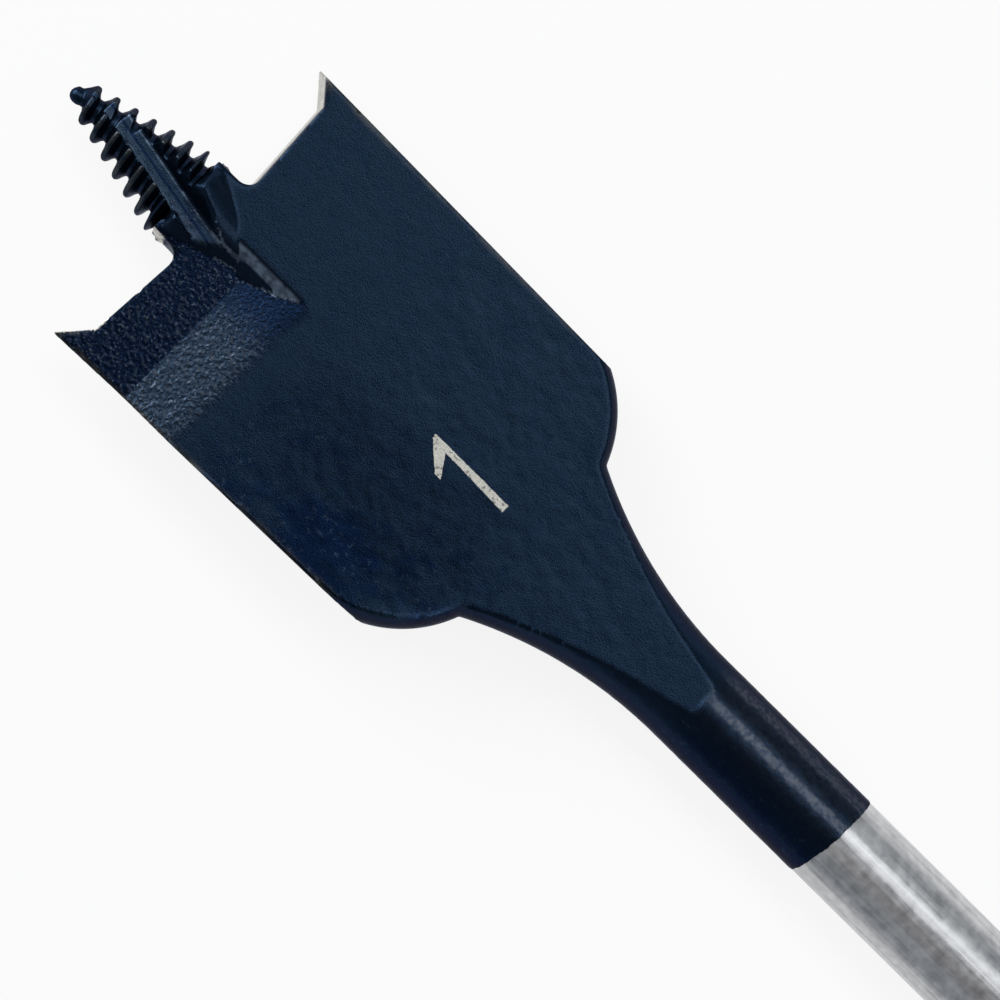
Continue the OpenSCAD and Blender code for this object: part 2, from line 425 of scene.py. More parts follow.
def scoopMask(points, normals):
    offFloor, pastEnd, faceUp = 0.09, 0.1, 0.8
    mask = np.zeros(len(points))
    for sign, p in bothFaces(points):
        x, y, z = p.T
        inside = (np.abs(z - scoopFloor(x)) < offFloor) & (x < bit["scoopEnd"] + pastEnd)
        inside &= (normals[:, 2] * sign > faceUp) & (y < bit["scoopInner"])
        mask = np.maximum(mask, inside * 1.0)
    return mask


def forgeLift(points):
    # Shallow hammer unevenness of the flat faces, stronger towards the shoulders and the left half
    s = coatedBlade
    x, y, z = points.T
    left = smooth(-y * z, *s["leftSide"]) * smooth(x, *s["leftStart"]) * (1 - smooth(x, *s["leftEnd"]))
    rough = s["forgeFront"] + (1 - s["forgeFront"]) * smooth(x, *s["forgeStart"])
    rough *= 0.8 + 0.6 * left
    rough *= (1 - smooth(np.abs(y), *s["forgeSides"])) * (1 - smooth(x, *s["forgeEnd"]))
    lift = noiseAt(points, s["forgeScale"], 3, 2.0) + 0.6 * noiseAt(points, 3 * s["forgeScale"], 2, 5.0)
    return s["forgeDepth"] * lift * rough - s["leftDrop"] * left


def easeCreases(points, normals):
    # The flat faces run into the neck ramps and the scoops without a hard line
    s = coatedBlade
    faceUp = 0.9
    lift = np.zeros(len(points))
    ramp = (bit["barRadius"] - bit["faceHeight"]) / (bit["rampEnd"] - bit["rampStart"])
    rise = bit["scoopDepth"] / (bit["scoopEnd"] - bit["scoopLow"])
    for sign, p in bothFaces(points):
        x, y, z = p.T
        top = normals[:, 2] * sign > faceUp
        for at, slope, half, share in (
            (bit["rampStart"], ramp, s["rampBlend"], 1.0),
            (bit["scoopEnd"], -rise, s["scoopBlend"], smooth(bit["scoopInner"] - y, *s["scoopBlendSide"])),
        ):
            t = np.clip(1 - np.abs(x - at) / half, 0, 1)
            lift += np.where(top, share * sign * slope * half * t * t / 4, 0)
    return lift


def rampTip(points, normals):
    # The flat ends in a short step on the round bar
    faceUp = 0.8
    x, y, z = points.T
    crown = np.sqrt(np.maximum(bit["barRadius"] ** 2 - y ** 2, 0))
    low = np.clip(crown - np.abs(z), 0, None) * (np.abs(normals[:, 2]) > faceUp) * (x > bit["neckAt"])
    return np.sign(z) * low * smooth(x, *coatedBlade["rampStep"])


def roundBoss(bm):
    # The forged corners beside the screw are rounder than the ground ones
    s = coatedBlade
    pairs, points = edgePairs(bm), pointsOf(bm)
    forged = smooth(points[:, 0], *s["bossStart"]) * (1 - smooth(points[:, 0], *s["bossEnd"]))
    forged *= 1 - smooth(np.abs(points[:, 1]), *s["bossSides"])
    setPoints(bm, relax(points, pairs, 0.5 * forged, s["bossRounding"]))


def refineScoops(bm):
    # Finer faces in the two scoops, for the peening
    mask = scoopMask(pointsOf(bm), normalsOf(bm))
    inScoop = [f for f in bm.faces if all(mask[v.index] > 0.5 for v in f.verts)]
    edges = list({e for f in inScoop for e in f.edges})
    bmesh.ops.subdivide_edges(bm, edges=edges, cuts=1, use_grid_fill=True)
    bmesh.ops.triangulate(bm, faces=[f for f in bm.faces if len(f.verts) > 4])


def skinMoves(points, normals, scoop):
    # How far each point goes along its normal
    s = coatedBlade
    x, y, z = points.T
    scoopRim, flatUp, roundUp = 0.02, 0.95, (0.93, 0.98)
    move = np.zeros(len(points))

    # Peened skin of the scoops, smoother towards the inner wall
    hit = np.where(scoop > scoopRim)[0]
    strength = s["peenInner"] + (1 - s["peenInner"]) * smooth(np.abs(y[hit]), *s["peenSides"])
    cells = np.array([noise.voronoi(Vector(q) * s["peenScale"])[0][0] for q in points[hit]])
    dents = cells - 0.5 + 0.5 * noiseAt(points[hit], 1.6 * s["peenScale"], 1, 7.0)
    move[hit] += s["peenDepth"] * dents * strength * scoop[hit]

    # Hammered flat faces
    flat = (np.abs(normals[:, 2]) > flatUp) & (scoop < scoopRim)
    hit = np.where(flat & within(x, bit["scoopEnd"], s["forgeEnd"][1]))[0]
    move[hit] += forgeLift(np.column_stack((x[hit], y[hit], np.sign(z[hit]))))

    # Small dents of the round bar and the neck's sides
    hit = np.where(x > bit["rampStart"])[0]
    curved = 1 - smooth(np.abs(normals[hit, 2]) * (x[hit] < bit["rampEnd"]), *roundUp)
    dents = np.clip(0.45 + noiseAt(points[hit], s["dentScale"], 2, 8.0), 0, 1)
    curved *= smooth(x[hit], *s["dentStart"])
    curved *= 1 - smooth(x[hit], *s["dentEnd"])
    move[hit] -= s["shankDents"] * dents * curved
    return move


def deepAndShadeMask(points):
    # Darker coating: the left half, a patch at its shoulder and streaks; down one side of the bar it is
    # painted shade
    s = deepCoatAndShade
    x, y, z = points.T
    side = -y * np.sign(z)
    left = smooth(side, *s["leftSide"]) * smooth(x, *s["leftStart"]) * (1 - 0.5 * smooth(x, *s["leftEnd"]))
    (atX, atSide), (sizeX, sizeSide) = s["patchAt"], s["patchSize"]
    patch = smooth(1 - ((x - atX) / sizeX) ** 2 - ((side - atSide) / sizeSide) ** 2, 0, 0.9)
    streaks = noiseAt(points * np.array(s["streakStretch"]), s["streakScale"], 3, 3.0)
    # Painted shade down one side of the round bar
    lean = np.arctan2(z, y) - math.radians(s["barLean"])
    bar = smooth(x, *s["barStart"]) * smooth(np.cos(2 * lean), *s["barWidth"])
    deepAndShade = left * (s["left"] + s["leftStreaks"] * streaks) + s["streaks"] * np.clip(streaks, 0, 1)
    return np.clip(deepAndShade + s["patch"] * patch + s["bar"] * bar, 0, 1)


def slickMask(points):
    # Smoother coating along one side of the round bar
    s = coatedBlade
    lean = np.arctan2(points[:, 2], points[:, 1]) - math.radians(s["slickLean"])
    return smooth(points[:, 0], *s["slickStart"]) * smooth(np.cos(2 * lean), *s["slickWidth"])


def wearMask(bm, pairs):
    # Outer corners of the blade, where the coating rubs off
    points = pointsOf(bm)
    wearAndCrestSheen = cornerMask(bm, edgeWear["degrees"])
    for _ in range(edgeWear["rounds"]):
        wearAndCrestSheen = np.maximum(wearAndCrestSheen * edgeWear["fade"], neighbourMean(wearAndCrestSheen, pairs))
    outer = smooth(np.abs(points[:, 1]), *edgeWear["sides"]) * (1 - smooth(points[:, 0], *edgeWear["end"]))
    return wearAndCrestSheen * outer


def buildCoatedBlade():
    s = coatedBlade
    bm = remeshed(cadSlice(bit["screwEnd"], bit["coatEnd"]), s["gridDepth"], s["gridScale"])
    print("coated blade grid", len(bm.faces))
    setPoints(bm, roundTrue(pointsOf(bm)))
    softenCorners(bm, bit["screwEnd"])
    roundBoss(bm)
    refineScoops(bm)
    pairs = edgePairs(bm)
    points, normals = pointsOf(bm), normalsOf(bm)
    scoop = scoopMask(points, normals)
    for _ in range(s["scoopFade"]):
        scoop = 0.4 * scoop + 0.6 * neighbourMean(scoop, pairs)
    marks = burnishAndHighlightMasks(points, normals)
    points[:, 2] += easeCreases(points, normals) + rampTip(points, normals)
    points += normals * skinMoves(points, normals, scoop)[:, None]
    points[:, 0] += coatLine(points) * smooth(points[:, 0], *s["raggedStart"])
    setPoints(bm, points)

    # rise: painted light on the scoop's far slope, which is paler; glint: where painted glints go on the
    # peened tips
    marks["scoop"] = scoop
    farSlope = smooth(points[:, 0], *s["farSlope"])
    outer = s["riseInner"] + (1 - s["riseInner"]) * smooth(np.abs(points[:, 1]), *s["riseSides"])
    marks["rise"] = scoop * farSlope * outer
    marks["glint"] = scoop * (1 - farSlope * (1 - outer))
    marks["wearAndCrestSheen"] = wearMask(bm, pairs)
    marks["deepAndShade"] = deepAndShadeMask(points)
    marks["slick"] = slickMask(points)
    # Pale lines along the scoop wall's edges, partly burnish and partly painted highlight
    onWall = cornerMask(bm, wallEdge["degrees"]) * (np.abs(points[:, 1]) < wallEdge["side"])
    onWall *= within(points[:, 0], *wallEdge["along"])
    marks["polishAndHighlight"] = np.maximum(marks["polishAndHighlight"], wallEdge["polishAndHighlight"] * onWall)
    return makePiece("coatedBlade", bm, marks)


# Lead screw

leadScrew = {
    "gridDepth": 8,
    "gridScale": 0.5,
    "pitch": 1.36,
    "start": 0.16,
    "crest": (0.98, 0.25),  # radius at the tip, and its growth along the screw
    "root": (0.31, 0.214),
    "shape": ((0, 0), (0.22, 0), (0.57, 1), (0.66, 1), (1, 0)),
    "knobEnd": 1.2,
    "bossRadius": 3.3,
    "bossAt": 10.9,
    "bossCone": 20.0,
    "rounding": 4,
    "roundingEnd": (bit["screwEnd"] - 0.5, bit["screwEnd"] - 0.1),
    "shift": 0.24,
    "shiftStart": (0.3, 1.3),
    "shiftEnd": (8.4, 10.0),
    "grow": 0.05,
    "blunt": 0.1,
    "bluntFrom": (0.4, 0.9),
    "crestSheen": 0.55,
    "crestFrom": (0.8, 1.0),
}


def threadRadii(x):
    # Root and crest of the tapered thread
    return [start + growth * x for start, growth in (leadScrew["root"], leadScrew["crest"])]


def trueThread(points):
    # Puts the flat facets of the thread on the smooth helix
    s = leadScrew
    x, y, z = points.T
    rho = np.hypot(y, z)
    share = ((x - s["start"]) / s["pitch"] - np.arctan2(z, y) / (2 * math.pi)) % 1
    root, crest = threadRadii(x)
    r = root + (crest - root) * np.interp(share, *zip(*s["shape"]))
    r = np.minimum(r, s["bossRadius"] - (x - s["bossAt"]) * math.tan(math.radians(s["bossCone"])))
    fit = (np.abs(rho - r) < meshing["offRadius"]) & (x > s["knobEnd"])
    grow = np.where(fit, r / np.maximum(rho, 0.1), 1)
    return np.column_stack((x, y * grow, z * grow))


def buildLeadScrew():
    s = leadScrew
    bm = remeshed(cadSlice(None, bit["screwEnd"]), s["gridDepth"], s["gridScale"])
    bmesh.ops.triangulate(bm, faces=bm.faces)
    dropFlaps(bm)
    print("lead screw grid", len(bm.faces))
    pairs = edgePairs(bm)
    points = trueThread(pointsOf(bm))
    inner = 1 - smooth(points[:, 0], *s["roundingEnd"])
    points = relax(points, pairs, 0.5 * inner, s["rounding"])
    setPoints(bm, points)
    normals = normalsOf(bm)
    marks = burnishAndHighlightMasks(points, normals)

    # The thread starts a little behind the blunt knob, and its crests are full
    free = smooth(points[:, 0], *s["shiftStart"]) * (1 - smooth(points[:, 0], *s["shiftEnd"]))
    points[:, 0] += s["shift"] * free
    points[:, 1:] += s["grow"] * (normals * free[:, None])[:, 1:]
    rho = np.hypot(points[:, 1], points[:, 2])
    root, crest = threadRadii(points[:, 0])
    height = (rho - root) / (crest - root)
    points[:, 0] += s["blunt"] * normals[:, 0] * smooth(height, *s["bluntFrom"]) * free
    # Paler crests: painted highlight where the thread's rims catch the light
    marks["wearAndCrestSheen"] = s["crestSheen"] * smooth(height, *s["crestFrom"]) * free
    setPoints(bm, points)
    return makePiece("leadScrew", bm, marks)


# Bare shank

bareShank = {"gridDepth": 9, "gridScale": 0.8, "thin": 0.055, "skin": 0.12, "hidden": 1.6}


def buildBareShank():
    # Starts inside the coating, and is thinner than it
    s = bareShank
    bm = remeshed(cadSlice(bit["coatEnd"] - s["hidden"], None), s["gridDepth"], s["gridScale"])
    print("bare shank grid", len(bm.faces))
    setPoints(bm, roundTrue(pointsOf(bm)))
    softenCorners(bm)
    points = pointsOf(bm)
    radial = np.hypot(points[:, 1], points[:, 2])
    slim = np.where(radial > bit["barRadius"] - s["skin"], s["thin"] / np.maximum(radial, 1), 0)
    points[:, 1:] *= (1 - slim)[:, None]
    setPoints(bm, points)
    return makePiece("bareShank", bm, {})


# Size mark: corners of its two strokes on the face, as x and y

sizeMark = {
    "stroke": ((33.05, 0.32), (33.12, -0.09), (39.84, -0.30), (39.84, 0.30)),
    "flag": ((34.42, -0.12), (33.14, -0.06), (34.86, -1.62), (35.42, -1.65)),
    "flagLower": 0.004,
    "proud": 0.012,
    "sunk": 0.05,
    "step": 0.07,
    "ragged": 0.05,
    "raggedScale": 4.5,
    "sharpDegrees": 30,
}


def strokeGrid(corners):
    # Even grid over one stroke, with a slightly ragged rim
    s = sizeMark
    a, b, c, d = (np.array(p) for p in corners)
    n = int(np.linalg.norm(c - b) / s["step"]) + 1
    wide = int(np.linalg.norm(b - a) / s["step"]) + 2
    grid, onRim = [], []
    for i in range(n + 1):
        for k in range(wide + 1):
            u, v = i / n, k / wide
            at = (1 - u) * ((1 - v) * a + v * b) + u * ((1 - v) * d + v * c)
            rim = k in (0, wide) or i in (0, n)
            wobble = np.array([noise.noise(Vector((*at, level)) * s["raggedScale"]) for level in (0.3, 2.3)])
            grid.append((*(at + s["ragged"] * rim * wobble), 1.0))
            onRim.append(float(rim))
    return np.array(grid), onRim, n, wide


def buildSizeMark():
    # Two etched strokes as thin plates that follow the face
    s = sizeMark
    bm = bmesh.new()
    edge = []
    for corners, lower in ((s["stroke"], 0.0), (s["flag"], s["flagLower"])):
        grid, onRim, n, wide = strokeGrid(corners)
        edge += onRim + onRim
        lift = forgeLift(grid) + bit["faceHeight"]
        layers = []
        for height in (s["proud"] - lower, -s["sunk"]):
            layers.append([bm.verts.new((x, y, e + height)) for (x, y, _), e in zip(grid, lift)])
        row = wide + 1
        for layer in layers:
            for i in range(n):
                for k in range(wide):
                    j = i * row + k
                    bm.faces.new((layer[j], layer[j + 1], layer[j + row + 1], layer[j + row]))
        rim = list(range(row)) + [i * row + wide for i in range(1, n + 1)]
        rim += [n * row + k for k in range(wide - 1, -1, -1)] + [i * row for i in range(n - 1, 0, -1)]
        for j, k in zip(rim, rim[1:] + rim[:1]):
            bm.faces.new((layers[0][j], layers[0][k], layers[1][k], layers[1][j]))
    return makePiece("sizeMark", bm, {"edge": np.array(edge)}, s["sharpDegrees"])


# Materials


class Nodes:
    # Short calls for laying out one node tree
    def __init__(self, tree):
        self.tree = tree
        tree.nodes.clear()

    def add(self, kind, inputs=None, **settings):
        node = self.tree.nodes.new(kind)
        for key, value in settings.items():
            setattr(node, key, value)
        for key, value in (inputs or {}).items():
            self.feed(node.inputs[key], value)
        return node

    def feed(self, socket, value):
        if isinstance(value, bpy.types.NodeSocket):
            self.tree.links.new(value, socket)
        else:
            socket.default_value = value

    def math(self, operation, a, b=0.0, clamp=False):
        return self.add("ShaderNodeMath", {0: a, 1: b}, operation=operation, use_clamp=clamp).outputs[0]

    def mix(self, share, a, b):
        node = self.add("ShaderNodeMix", data_type="RGBA")
        for key, value in (("Factor", share), ("A", a), ("B", b)):
            self.feed([i for i in node.inputs if i.name == key and i.enabled][0], value)
        return [o for o in node.outputs if o.enabled][0]

    def between(self, value, low, high, outLow=0.0, outHigh=1.0):
        return self.add(
            "ShaderNodeMapRange",
            {"Value": value, "From Min": low, "From Max": high, "To Min": outLow, "To Max": outHigh},
        ).outputs[0]

    def place(self):
        return self.add("ShaderNodeTexCoord").outputs["Object"]

    def attribute(self, name):
        return self.add("ShaderNodeAttribute", attribute_name=name).outputs["Fac"]

    def noise(self, vector, scale, detail=2.0, rough=0.5):
        inputs = {"Vector": vector, "Scale": scale, "Detail": detail, "Roughness": rough}
        return self.add("ShaderNodeTexNoise", inputs).outputs[0]

    def group(self, tree, inputs):
        return self.add("ShaderNodeGroup", inputs, node_tree=tree).outputs

    def bump(self, height, strength, distance):
        inputs = {"Height": height, "Strength": strength, "Distance": distance}
        return self.add("ShaderNodeBump", inputs).outputs[0]

    def finish(self, shader, kind="ShaderNodeOutputMaterial"):
        self.add(kind, {"Surface": shader.outputs[0]})


def newGroup(name, inputs, outputs):
    tree = bpy.data.node_groups.new(name, "ShaderNodeTree")
    for label, kind, value in inputs:
        socket = tree.interface.new_socket(label, in_out="INPUT", socket_type=kind)
        if value is not None:
            socket.default_value = value
    for label in outputs:
        tree.interface.new_socket(label, in_out="OUTPUT", socket_type="NodeSocketFloat")
    n = Nodes(tree)
    return tree, n, n.add("NodeGroupInput").outputs, n.add("NodeGroupOutput").inputs


def grainGroup():
    # Fine grain and slow mottling for every finish
    tree, n, given, out = newGroup(
        "finishGrain",
        [
            ("Vector", "NodeSocketVector", None),
            ("Grain Scale", "NodeSocketFloat", 3000.0),
            ("Mottle Scale", "NodeSocketFloat", 300.0),
        ],
        ["Grain", "Mottle"],
    )
    n.feed(out["Grain"], n.between(n.noise(given["Vector"], given["Grain Scale"], 3.0), 0.3, 0.7))
    n.feed(out["Mottle"], n.between(n.noise(given["Vector"], given["Mottle Scale"], 4.0), 0.32, 0.68))
    return tree


def drawnGroup():
    # Lines along the bar left by drawing and grinding
    tree, n, given, out = newGroup(
        "drawnLines",
        [("Vector", "NodeSocketVector", None), ("Scale", "NodeSocketFloat", 2500.0)],
        ["Lines"],
    )
    stretched = n.add("ShaderNodeMapping", {"Vector": given["Vector"], "Scale": (0.03, 1, 1)}).outputs[0]
    n.feed(out["Lines"], n.between(n.noise(stretched, given["Scale"], 4.0), 0.3, 0.7))
    return tree


finishGrain = grainGroup()
drawnLines = drawnGroup()


def newMaterial(name):
    material = bpy.data.materials.new(name)
    material.use_nodes = True
    return material, Nodes(material.node_tree)


def placeGrain(n, place, finish):
    scales = {"Grain Scale": finish["grainScale"], "Mottle Scale": finish["mottleScale"]}
    return n.group(finishGrain, {"Vector": place, **scales})


# The last five values are noises: scale, detail, roughness, then the range that is read and what it becomes
coatFinish = {
    "navy": (0.0084, 0.0200, 0.0412, 1),
    "navyDark": (0.0070, 0.0176, 0.0372, 1),
    "navyPale": (0.0205, 0.0370, 0.0628, 1),
    # The darker coating, also painted shade on the bar's side and on the flute's dark line
    "navyDeepAndShade": (0.0022, 0.0095, 0.034, 1),
    # Painted shade in the scoops, then painted light on their far slopes
    "scoop": (0.0004, 0.0056, 0.0235, 1),
    "scoopLitSlope": (0.0102, 0.0192, 0.0350, 1),
    # Pale flecks, and the colour of the painted glints
    "fleckAndGlint": (0.052, 0.078, 0.112, 1),
    # Paler grey of ground places, partly painted highlight
    "burnishedAndLit": (0.22, 0.295, 0.40, 1),
    "steel": (0.66, 0.645, 0.60, 1),
    "wornSteel": (0.27, 0.26, 0.23, 1),
    # Rubbed coating on the blade's corners, also painted highlight on the thread crests
    "rubbedAndCrestSheen": (0.11, 0.105, 0.075, 1),
    "roughness": (0.27, 0.35),
    "slick": 0.11,
    "metallic": 0.9,
    "specular": 0.4,
    "edgeTint": (0.20, 0.25, 0.34, 1),
    "clear": (0.05, 0.15),
    "riseClear": 0.13,
    "slickClear": 0.8,
    "clearRoughness": 0.16,
    "grainScale": 9500.0,
    "mottleScale": 1500.0,
    "paleGrain": 0.3,
    "deepAndShadeShare": 0.9,
    "scoopShadeShare": 0.85,
    "fleckByDeep": (0.05, 0.5, 0.12, 1.0),
    "fluteShadeLine": (0.0, 0.05, 0.75, 0.0),
    "peakScale": 5200.0,
    "peakGlint": (0.57, 0.68, 0.0, 0.8),
    "peakBump": 6.0,
    "mottleBump": 0.6,
    "lineScale": 5000.0,
    "groundCut": (0.4, 0.6),
    "bump": (0.3, 0.00004),
    "flecks": (2300.0, 5.0, 0.65, 0.58, 0.72, 0.0, 0.5),
    "patchy": (1500.0, 4.0, 0.5, 0.36, 0.62, 0.3, 1.0),
    "rub": (1100.0, 4.0, 0.5, 0.35, 0.6, 0.15, 0.8),
    "groundEdge": (2200.0, 3.0, 0.5, 0.3, 0.7, -0.35, 0.35),
    "uneven": (3600.0, 3.0, 0.5, 0.38, 0.6, 0.25, 1.0),
}


def fluteLightAndShade(n, place):
    # Painted light and shade along the flute's floor: a pale left band, a dark line of painted shade, a bright
    # painted highlight line at the right wall
    shift = (-1000 * toRow.translation.x, 0, -1000 * toRow.translation.z)
    inBit = n.add("ShaderNodeMapping", {"Vector": place, "Location": shift, "Scale": (1000, 1000, 1000)})
    at = n.add("ShaderNodeSeparateXYZ", {0: inBit.outputs[0]}).outputs

    def turned(a, b, angle):
        return n.math("ADD", n.math("MULTIPLY", a, math.cos(angle)), n.math("MULTIPLY", b, math.sin(angle)))

    level, height = turned(at["Y"], at["Z"], -roll), turned(at["Z"], at["Y"], roll)
    level = n.math("SUBTRACT", n.math("MULTIPLY", level, n.math("SIGN", height)), flute["offset"])
    side = turned(level, at["X"], math.radians(flute["turn"]))
    ramp = n.add("ShaderNodeValToRGB", {"Fac": n.between(side, -flute["halfWidth"], flute["halfWidth"])})
    stops = ramp.color_ramp.elements
    while len(stops) < len(flute["stops"]):
        stops.new(0.5)
    for stop, (share, value) in zip(stops, flute["stops"]):
        stop.position = share
        stop.color = (value, value, value, 1)
    return ramp.outputs[0]


def coatMaterial(name, edgeTint, groundSteel):
    s = coatFinish
    material, n = newMaterial(name)
    place = n.place()

    def patches(label):
        scale, detail, rough, *span = s[label]
        return n.between(n.noise(place, scale, detail, rough), *span)

    grain = placeGrain(n, place, s)
    deepAndShade, scoop, rise, slick = (n.attribute(label) for label in ("deepAndShade", "scoop", "rise", "slick"))

    # The coating itself, then painted shade in the scoops and painted light on their far slopes
    colour = n.mix(grain["Mottle"], s["navyDark"], s["navy"])
    colour = n.mix(n.math("MULTIPLY", grain["Grain"], s["paleGrain"]), colour, s["navyPale"])
    # Darker coating, with painted shade down one side of the round bar
    colour = n.mix(n.math("MULTIPLY", deepAndShade, s["deepAndShadeShare"]), colour, s["navyDeepAndShade"])
    flecks = n.math("MULTIPLY", patches("flecks"), n.between(deepAndShade, *s["fleckByDeep"]))
    colour = n.mix(flecks, colour, s["fleckAndGlint"])
    colour = n.mix(n.math("MULTIPLY", scoop, s["scoopShadeShare"]), colour, s["scoop"])
    colour = n.mix(rise, colour, s["scoopLitSlope"])
    # Painted glints on the peened tips in the scoops
    peaks = n.noise(place, s["peakScale"])
    glint = n.math("MULTIPLY", n.attribute("glint"), n.between(peaks, *s["peakGlint"]))
    colour = n.mix(glint, colour, s["fleckAndGlint"])

    # Ground and rubbed places, with painted light and shade on the flutes, edges and thread crests
    inFlute, paintedFluteLight = n.attribute("flute"), fluteLightAndShade(n, place)
    # Painted shade and painted highlights along the flute floors
    colour = n.mix(n.math("MULTIPLY", inFlute, n.between(paintedFluteLight, *s["fluteShadeLine"])), colour, s["navyDeepAndShade"])
    polishAndHighlight = n.math("MAXIMUM", n.attribute("polishAndHighlight"), n.math("MULTIPLY", inFlute, paintedFluteLight))
    # Burnish on chamfers and wall edges, partly painted highlight, with the flute's painted light
    colour = n.mix(n.math("MULTIPLY", polishAndHighlight, patches("patchy")), colour, s["burnishedAndLit"])
    # Rubbed coating on the blade's outer corners, and painted highlight on the thread crests
    colour = n.mix(n.math("MULTIPLY", n.attribute("wearAndCrestSheen"), patches("rub")), colour, s["rubbedAndCrestSheen"])
    metallic = s["metallic"]
    if groundSteel:
        lines = n.group(drawnLines, {"Vector": place, "Scale": s["lineScale"]})
        ground = n.between(n.math("ADD", n.attribute("ground"), patches("groundEdge")), *s["groundCut"])
        colour = n.mix(ground, colour, n.mix(lines["Lines"], s["wornSteel"], s["steel"]))
        metallic = n.between(ground, 0, 1, s["metallic"], 1.0)

    roughness = n.between(grain["Mottle"], 0, 1, *s["roughness"])
    roughness = n.math("SUBTRACT", roughness, n.math("MULTIPLY", slick, s["slick"]))
    clear = n.math("ADD", n.between(scoop, 0, 1, *s["clear"]), n.math("MULTIPLY", rise, s["riseClear"]))
    slickClear = n.math("MULTIPLY", n.math("MULTIPLY", slick, patches("uneven")), s["slickClear"])
    height = n.math("ADD", grain["Grain"], n.math("MULTIPLY", grain["Mottle"], s["mottleBump"]))
    height = n.math("ADD", height, n.math("MULTIPLY", scoop, n.math("MULTIPLY", peaks, s["peakBump"])))
    shader = n.add(
        "ShaderNodeBsdfPrincipled",
        {
            "Base Color": colour,
            "Roughness": roughness,
            "Metallic": metallic,
            "Normal": n.bump(height, *s["bump"]),
            "Specular IOR Level": s["specular"],
            "Specular Tint": edgeTint,
            "Coat Weight": n.math("ADD", clear, slickClear),
            "Coat Roughness": s["clearRoughness"],
        },
    )
    n.finish(shader)
    return material


steelFinish = {
    "bright": (0.74, 0.75, 0.755, 1),
    "dull": (0.335, 0.34, 0.35, 1),
    "roughness": (0.31, 0.41),
    "metallic": 0.75,
    "grainScale": 6500.0,
    "mottleScale": 1300.0,
    "lineScale": 2600.0,
    "bump": (0.3, 0.00002),
}


def steelMaterial():
    s = steelFinish
    material, n = newMaterial("drawnSteel")
    place = n.place()
    grain = placeGrain(n, place, s)
    lines = n.group(drawnLines, {"Vector": place, "Scale": s["lineScale"]})["Lines"]
    share = n.math("MULTIPLY", n.math("ADD", lines, grain["Mottle"]), 0.5)
    height = n.math("ADD", lines, n.math("MULTIPLY", grain["Grain"], 0.5))
    shader = n.add(
        "ShaderNodeBsdfPrincipled",
        {
            "Base Color": n.mix(share, s["dull"], s["bright"]),
            "Roughness": n.between(grain["Mottle"], 0, 1, *s["roughness"]),
            "Metallic": s["metallic"],
            "Normal": n.bump(height, *s["bump"]),
        },
    )
    n.finish(shader)
    return material


markFinish = {
    "pale": (0.64, 0.635, 0.575, 1),
    "spot": (0.13, 0.13, 0.125, 1),
    "roughness": (0.5, 0.7),
    "metallic": 0.3,
    "grainScale": 9000.0,
    "mottleScale": 4200.0,
    "specks": (0.62, 0.9, 0.0, 0.75),
    "grainSpecks": 0.22,
    "rimSpecks": (0.45, 1.0, 0.0, 0.7),
    "bump": (0.4, 0.00003),
}


def markMaterial():
    # Etched through the coating, with a few dark specks left
    s = markFinish
    material, n = newMaterial("etchedSteel")
    place = n.place()
    grain = placeGrain(n, place, s)
    specks = n.between(grain["Mottle"], *s["specks"])
    specks = n.math("ADD", specks, n.math("MULTIPLY", grain["Grain"], s["grainSpecks"]))
    specks = n.math("ADD", specks, n.between(n.attribute("edge"), *s["rimSpecks"]), clamp=True)
    shader = n.add(
        "ShaderNodeBsdfPrincipled",
        {
            "Base Color": n.mix(specks, s["pale"], s["spot"]),
            "Roughness": n.between(grain["Grain"], 0, 1, *s["roughness"]),
            "Metallic": s["metallic"],
            "Normal": n.bump(grain["Grain"], *s["bump"]),
        },
    )
    n.finish(shader)
    return material


def paintBlade(blade, coating, lips):
    # The ground lips have a material of their own, with bare steel in it
    blade.data.materials.append(coating)
    blade.data.materials.append(lips)
    onLips = np.zeros(len(blade.data.vertices), dtype=np.float32)
    blade.data.attributes["ground"].data.foreach_get("value", onLips)
    for face in blade.data.polygons:
        face.material_index = int(onLips[list(face.vertices)].max() > 0.01)


# Put the bit together

navyCoating = coatMaterial("navyCoating", coatFinish["edgeTint"], False)
blade = buildCoatedBlade()
paintBlade(blade, navyCoating, coatMaterial("groundLips", (1, 1, 1, 1), True))
screw = buildLeadScrew()
screw.data.materials.append(navyCoating)
shank = buildBareShank()
shank.data.materials.append(steelMaterial())
mark = buildSizeMark()
mark.data.materials.append(markMaterial())
for piece, slotName in (
    (blade, "coated_steel"),
    (screw, "coated_steel"),
    (shank, "bare_steel"),
    (mark, "bare_steel"),
):
    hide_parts("spade_bit")
    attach(piece, "root")
print("pieces placed")

# Floor, light and camera, in metres

studio = {
    "floorSize": 6.0,
    "floorColour": (0.86, 0.86, 0.86, 1),
    "glow": 0.88,
    "roomColour": (0.19, 0.207, 0.228, 1),
    "standColour": (0.115, 0.098, 0.104, 1),
    "standAcross": (-0.66, -0.5, 0.04, 0.3),
    "standAlong": (-0.6, -0.1),
    "white": (1, 1, 1, 1),
    "lightsAim": (-0.035, 0, 0),
    "keyPower": 8.5,
    "keySize": (0.7, 0.5),
    "keyPlace": (-0.88, 0.10, 0.45),
    "stripPower": 2.5,
    "stripSize": (1.2, 0.27),
    "stripPlace": (-0.03, 0.36, 0.66),
}


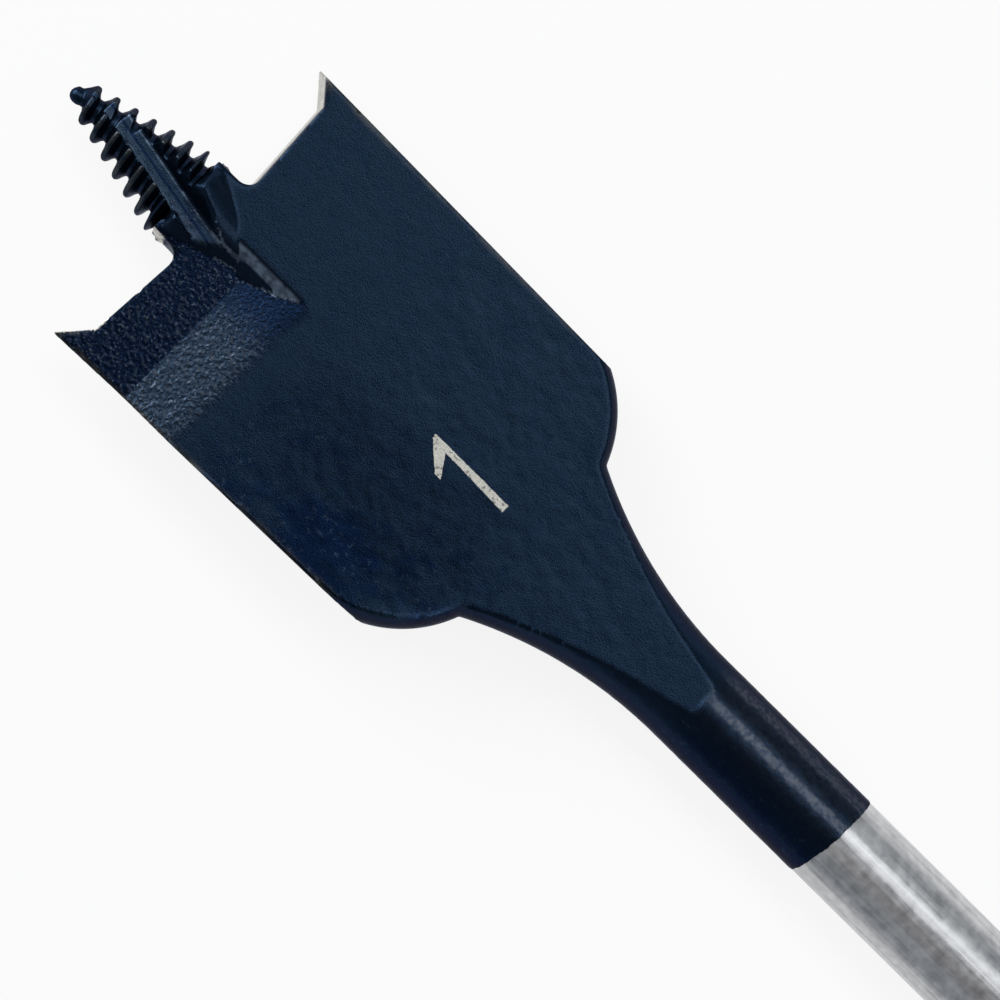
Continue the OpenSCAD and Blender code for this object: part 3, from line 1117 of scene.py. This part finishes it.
def buildFloor():
    bm = bmesh.new()
    half = studio["floorSize"] / 2
    corners = ((-half, -half), (half, -half), (half, half), (-half, half))
    bm.faces.new([bm.verts.new((x, y, 0)) for x, y in corners])
    mesh = bpy.data.meshes.new("floor")
    bm.to_mesh(mesh)
    bm.free()
    floor = bpy.data.objects.new("floor", mesh)
    scene.collection.objects.link(floor)
    material, n = newMaterial("paleFloor")
    path = n.add("ShaderNodeLightPath").outputs
    seen = n.math("MAXIMUM", path["Is Camera Ray"], path["Is Glossy Ray"])
    seen = n.math("MULTIPLY", n.math("MAXIMUM", seen, path["Is Transmission Ray"]), studio["glow"])
    diffuse = n.add("ShaderNodeBsdfDiffuse", {"Color": studio["floorColour"]})
    glow = n.add("ShaderNodeEmission", {"Color": studio["white"], "Strength": 1.0})
    n.finish(n.add("ShaderNodeMixShader", {0: seen, 1: diffuse.outputs[0], 2: glow.outputs[0]}))
    mesh.materials.append(material)


def buildWorld():
    # A pale room with the dark stand of the camera overhead, open towards the screw
    world = bpy.data.worlds.new("studioWorld")
    scene.world = world
    world.use_nodes = True
    n = Nodes(world.node_tree)
    way = n.add("ShaderNodeSeparateXYZ", {0: n.add("ShaderNodeTexCoord").outputs["Generated"]}).outputs
    leanY = n.math("ARCTAN2", way["Y"], way["Z"])
    leanX = n.math("ARCTAN2", way["X"], way["Z"])
    y0, y1, y2, y3 = studio["standAcross"]
    stand = n.math("MULTIPLY", n.between(leanY, y0, y1), n.between(leanY, y2, y3, 1.0, 0.0))
    stand = n.math("MULTIPLY", stand, n.between(leanX, *studio["standAlong"]))
    room = n.add("ShaderNodeBackground", {"Color": n.mix(stand, studio["roomColour"], studio["standColour"])})
    white = n.add("ShaderNodeBackground", {"Color": studio["white"]})
    seen = n.add("ShaderNodeLightPath").outputs["Is Camera Ray"]
    blend = n.add("ShaderNodeMixShader", {0: seen, 1: room.outputs[0], 2: white.outputs[0]})
    n.finish(blend, "ShaderNodeOutputWorld")


def addSoftbox(label):
    lamp = bpy.data.lights.new(label + "Softbox", "AREA")
    lamp.shape = "RECTANGLE"
    lamp.size, lamp.size_y = studio[label + "Size"]
    lamp.energy = studio[label + "Power"]
    holder = bpy.data.objects.new(label + "Softbox", lamp)
    place = Vector(studio[label + "Place"])
    holder.location = place
    holder.rotation_euler = (Vector(studio["lightsAim"]) - place).to_track_quat("-Z", "Y").to_euler()
    scene.collection.objects.link(holder)


buildFloor()
buildWorld()
addSoftbox("key")
addSoftbox("strip")

view = {
    "nadir": (-0.05058, 0.0),
    "height": 0.3035,
    "aim": (-0.03695, 0.00041, 0.0035),
    "up": (-0.7036, 0.7106, 0.0),
    "lens": 162.6,
    "sensor": 36,
    "clipStart": 0.01,
}
eye = Vector((*view["nadir"], view["height"]))
ahead = (Vector(view["aim"]) - eye).normalized()
across = ahead.cross(Vector(view["up"])).normalized()
above = across.cross(ahead)
camera = bpy.data.objects.new("camera", bpy.data.cameras.new("camera"))
camera.data.lens = view["lens"]
camera.data.sensor_width = view["sensor"]
camera.data.clip_start = view["clipStart"]
camera.matrix_world = Matrix.Translation(eye) @ Matrix((across, above, -ahead)).transposed().to_4x4()
scene.collection.objects.link(camera)
scene.camera = camera
print("studio ready")
